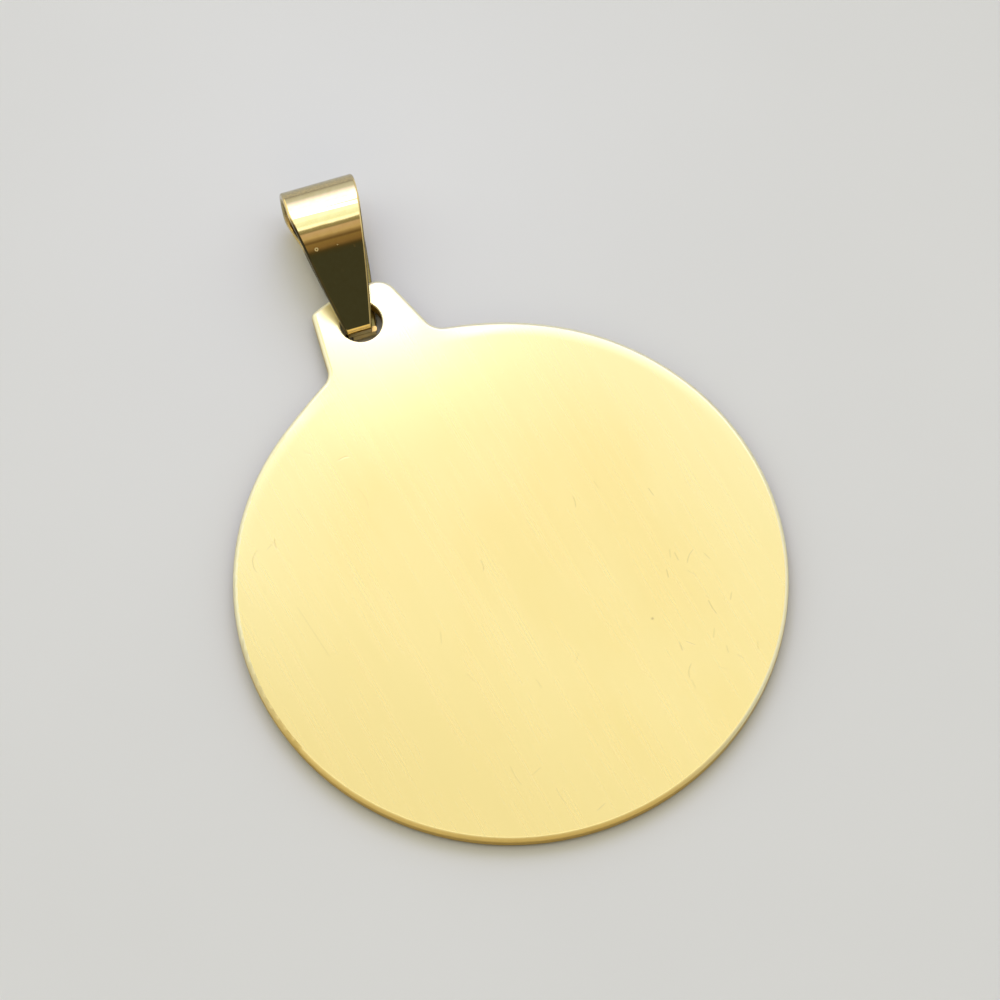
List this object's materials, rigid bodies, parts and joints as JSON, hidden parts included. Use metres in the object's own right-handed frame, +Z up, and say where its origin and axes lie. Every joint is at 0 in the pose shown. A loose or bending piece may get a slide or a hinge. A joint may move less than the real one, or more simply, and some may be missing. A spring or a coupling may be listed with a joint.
{
  "type": "medallion pendant",
  "caption": "Plain round medallion pendant in gold tone: a flat plate with a pierced tab, and a tapered folded bail linked through it for a chain.",
  "frame": {"origin": "on the surface that the pendant lies on, under the middle of its bounding box", "axes": "+Y along the plate's axis from the disc to the bail, +Z up out of the surface, +X to the right seen from above"},
  "size_m": [0.035, 0.0474, 0.0052],
  "materials": {
    "plate_gold": "fine brushed gold plating with light wear",
    "bail_gold": "polished gold plating"
  },
  "bodies": {
    "root": {"medallion": "plate_gold", "bail": "bail_gold"}
  },
  "joints": []
}
